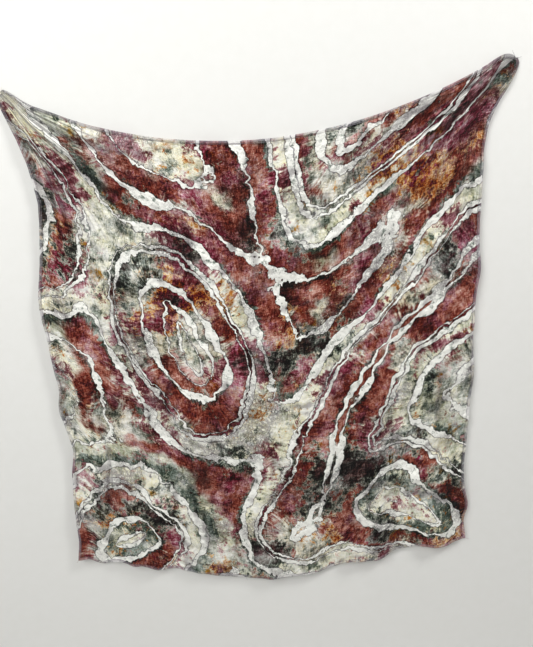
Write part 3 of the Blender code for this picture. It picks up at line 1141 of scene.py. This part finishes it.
def burst_dye(place, feather, burst):
    """How deep a place lies in the bursts of one kind, from 0 to 1, and the colour of their dye."""
    where = cloud(place, burst.turns, 3.0, 0.55, burst.seed)
    grain = cloud(place, BURST_GRAIN, 6.0, 0.75, burst.seed + 0.5)
    depth = (grain - 0.5) * 0.45 + where + feather * 0.12
    depth = step(depth, burst.start, burst.deepest, way="LINEAR")
    last = len(burst.colours) - 1
    stops = [(number / last, colour) for number, colour in enumerate(burst.colours)]
    return depth, ramp(depth, stops)


def paint_vein(colour, place, out, steep, teeth, vein):
    """One white vein with its thin dark outline, wide here and pinched there."""
    own_out = (cloud(place, 42.0, seed=vein.seed) - 0.5) * vein.jag + out
    off = abs(own_out - vein.place) / steep
    width = step(cloud(place, 8.0, seed=vein.seed), 0.38, 0.66, vein.least, WIDEST_VEIN)
    rim = off + teeth - width * vein.half_width
    outline = step(rim, OUTLINE_START, OUTLINE_WHOLE) * (step(width, 0.02, 0.2) * OUTLINE_STRENGTH)
    colour = blend(outline, colour, OUTLINE_TINT, "MULTIPLY")
    stain = step(cloud(place, 50.0, 6.0, 0.75, vein.seed + 1.0), 0.53, 0.64)
    vein_colour = blend(stain, VEIN_WHITE, SLATE)
    return blend(step(rim, VEIN_SOFTNESS, -VEIN_SOFTNESS), colour, vein_colour)


def ice_dye(tree, place):
    """The whole dye: its bands, washes and bursts, laid on unevenly, and the veins left white."""
    smooth_out = attribute(tree, "dye_out", "Fac")
    steep = attribute(tree, "dye_steep", "Fac")
    out = pleated(place, smooth_out)
    feather = streak_noise(place, smooth_out, attribute(tree, "dye_slope", "Vector")) - 0.5
    colour = band_colour(place, out, attribute(tree, "dye_mood", "Fac"), feather)
    colour = paint_washes(colour, place, feather)
    for burst in BURSTS:
        depth, dye = burst_dye(place, feather, burst)
        colour = blend(step(depth, 0.0, 0.12, 0.0, 0.9), colour, dye)
    depth = dye_depth(place, feather)
    colour = follow("Gamma", "Color", {"Color": colour, "Gamma": depth})
    _, tint = burst_dye(place, feather, SPECKS)
    colour = blend(1.0, colour, tint, "MULTIPLY")
    teeth = (cloud(place, TEETH_TURNS, 2.0, 0.6, 77.0) - 0.5) * TEETH_REACH
    for vein in VEINS:
        colour = paint_vein(colour, place, out, steep, teeth, vein)
    return colour


def fan_lines(place, corner, side):
    """Creases that fan out from a pin and die away, from 0 between them to 1 on them, for bump and
    painted shade.
    """
    across, down = parts(combine("SUBTRACT", place, (corner, 0.0, 0.0)))
    inward = across * side
    radius = calculate("SQRT", inward * inward + down * down)
    turns = calculate("ARCTAN2", down, inward) * FAN_TURNS
    off = abs(cloud(whole(turns, radius * 3.0, side), 1.0) - 0.5)
    return step(off, 0.12, 0.0) * step(radius, FAN_REACH, FAN_WHOLE)


def weave_height(place):
    """The raised threads of the gauze, both ways of the cloth."""
    turn = 2.0 * math.pi * WEAVE_TURNS
    warp, weft = [calculate("SINE", part * turn) for part in parts(place)]
    return calculate("MAXIMUM", warp, weft)


def paint_hem(colour, place):
    """The edge that the overlock thread covers, and a line of painted shade along its inner stitches,
    where the hem steps.
    """
    half = CUT_SIDE / 2.0
    across, down = parts(combine("ABSOLUTE", combine("SUBTRACT", place, (half, half, 0.0))))
    to_edge = half - calculate("MAXIMUM", across, down)
    colour = blend(step(to_edge, HEM_PAINT_END, HEM_PAINT_WHOLE, 0.0, 0.30), colour, LILAC_GREY)
    depth = step(cloud(place, 14.0, seed=81.0), 0.38, 0.62, 0.15, 0.85)
    # Painted shade: an uneven dark line where the thicker hem steps down to the gauze
    line = step(abs(to_edge - STITCH_INNER), LINE_END, LINE_WHOLE) * depth
    return blend(line, colour, HEM_STEP_SHADE_TINT, "MULTIPLY")


def new_material(name, roughness, sheen):
    """A material, its nodes and its shader, with the values that are the same all over."""
    material = bpy.data.materials.new(name)
    material.use_nodes = True
    shader = material.node_tree.nodes["Principled BSDF"]
    shader.inputs["Roughness"].default_value = roughness
    shader.inputs["Sheen Weight"].default_value = sheen
    return material, material.node_tree, shader


def dyed_gauze():
    """Crinkled cotton gauze with its ice dye, and shade painted into its troughs, along its creases
    and at the hem's step.
    """
    material, tree, shader = new_material("dyed_gauze", 0.92, 0.05)
    shader.inputs["Specular IOR Level"].default_value = 0.20
    place = attribute(tree, "flat_place", "Vector")
    colour = ice_dye(tree, place)
    wrinkles = 0.0
    for lean, along, beside, seed in WRINKLES:
        lines = wrinkle_lines(place, lean, along, beside, seed)
        wrinkles = calculate("MAXIMUM", wrinkles, lines)
    wrinkles = wrinkles * step(cloud(place, 6.0), 0.35, 0.65, 0.4, 1.0)
    # Painted shade along the wrinkles' lines and the fan creases; the same lines are pressed in as
    # bump
    creases = step(wrinkles, 0.66, 1.0)
    for corner, side in ((0.0, 1.0), (CUT_SIDE, -1.0)):
        creases = calculate("MAXIMUM", creases, fan_lines(place, corner, side))
    # Painted shade in the troughs of the mesh's creases and crinkle
    trough_shade = step(attribute(tree, "crease", "Fac"), TROUGH_START, TROUGH_DEEPEST)
    colour = blend(trough_shade, colour, TROUGH_SHADE_TINT, "MULTIPLY")
    colour = blend(creases, colour, CREASE_SHADE_TINT, "MULTIPLY")
    feed(shader.inputs["Base Color"], paint_hem(colour, place))

    height = wrinkles + cloud(place, 60.0, seed=51.0) * 2.0 - creases * 0.6
    height = height + weave_height(place) * 0.02
    bump = follow("Bump", "Normal", {"Height": height, "Strength": 1.0, "Distance": BUMP_HEIGHT})
    feed(shader.inputs["Normal"], bump)
    return material


def hem_thread():
    """Sewing thread of the overlocked hem, which took the cloth's dye less well than the cotton."""
    material, tree, shader = new_material("hem_thread", 0.7, 0.2)
    place = attribute(tree, "flat_place", "Vector")
    undyed = step(cloud(place, 12.0, 3.0, 0.6, 83.0), 0.36, 0.62, 0.15, 0.80)
    feed(shader.inputs["Base Color"], blend(undyed, ice_dye(tree, place), LILAC_GREY))
    return material


def painted(name, scale, first, second):
    """Matt paint, a little uneven."""
    material, tree, shader = new_material(name, 0.9, 0.0)
    place = add_node(tree, "TexCoord", "Object", {})
    feed(shader.inputs["Base Color"], blend(cloud(place, scale, 3.0), first, second))
    return material


def wall_paint():
    """White paint, seen from the front only so that the cloth's back can be looked at."""
    material = painted("wall_paint", 40.0, srgb(230, 230, 227), srgb(234, 234, 232))
    tree = material.node_tree
    behind = add_node(tree, "NewGeometry", "Backfacing", {})
    paint = Value(tree.nodes["Principled BSDF"].outputs[0])
    clear = add_node(tree, "BsdfTransparent", "BSDF", {})
    surface = follow("MixShader", "Shader", {"Fac": behind, "Shader": paint, "Shader_001": clear})
    feed(tree.nodes["Material Output"].inputs["Surface"], surface)
    return material


def stage_plane(name, place, turn, material):
    plane = new_object(name, flat_grid(name, 1, STAGE_SIZE), material)
    plane.matrix_world = Matrix.Translation(place) @ Euler(turn).to_matrix().to_4x4()
    return plane


def build_stage():
    """A pale floor, and a white wall that casts no shadow and lets light through from behind."""
    floor_z = CAD_BOX[0][2] - FLOOR_DROP
    floor = painted("floor_paint", 12.0, srgb(222, 221, 217), srgb(228, 227, 224))
    stage_plane("floor", (0.0, 0.0, floor_z), (0.0, 0.0, 0.0), floor)
    wall_y = stand_off(0.5, 0.0) + WALL_GAP
    wall_z = floor_z + STAGE_SIZE / 2.0
    wall = stage_plane("wall", (0.0, wall_y, wall_z), (math.pi / 2.0, 0.0, 0.0), wall_paint())
    wall.visible_shadow = False
    wall.visible_diffuse = False
    wall.visible_glossy = False
    wall.visible_transmission = False


def area_light(lamp):
    light = bpy.data.lights.new(lamp.name, "AREA")
    light.shape = "DISK"
    light.size = lamp.size
    light.energy = lamp.power
    light.color = lamp.colour
    holder = bpy.data.objects.new(lamp.name, light)
    bpy.context.scene.collection.objects.link(holder)
    aim = (Vector(lamp.target) - Vector(lamp.place)).to_track_quat("-Z", "Y")
    holder.matrix_world = Matrix.Translation(lamp.place) @ aim.to_matrix().to_4x4()


def build_lights():
    world = bpy.data.worlds.new("soft_room")
    bpy.context.scene.world = world
    world.use_nodes = True
    background = world.node_tree.nodes["Background"]
    background.inputs["Color"].default_value = (1.0, 1.0, 1.0, 1.0)
    background.inputs["Strength"].default_value = WORLD_STRENGTH
    for lamp in LAMPS:
        area_light(lamp)
    bpy.context.scene.view_settings.view_transform = "Standard"


def build_camera():
    data = bpy.data.cameras.new("camera")
    data.sensor_fit = "AUTO"
    data.sensor_width = SENSOR
    data.lens = FOCAL_SHARE * SENSOR
    camera = bpy.data.objects.new("camera", data)
    bpy.context.scene.collection.objects.link(camera)
    looking = Matrix.Rotation(math.radians(90.0 - CAMERA_PITCH), 4, "X")
    rolled = Matrix.Rotation(math.radians(CAMERA_ROLL), 4, "Z")
    place = Matrix.Translation((CAMERA_X, -CAMERA_DISTANCE, CAMERA_HEIGHT))
    camera.matrix_world = place @ looking @ rolled
    bpy.context.scene.camera = camera


def main():
    build_camera()
    build_stage()
    build_lights()
    hung = HungCloth()
    thread = hem_thread()
    cloth = build_cloth(hung, dyed_gauze())
    stitching = build_stitching(hung, thread)
    thread_ends = build_thread_ends(hung, thread)
    for piece in (cloth, stitching, thread_ends):
        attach(piece, "root")
    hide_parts("swaddle_cloth")


main()
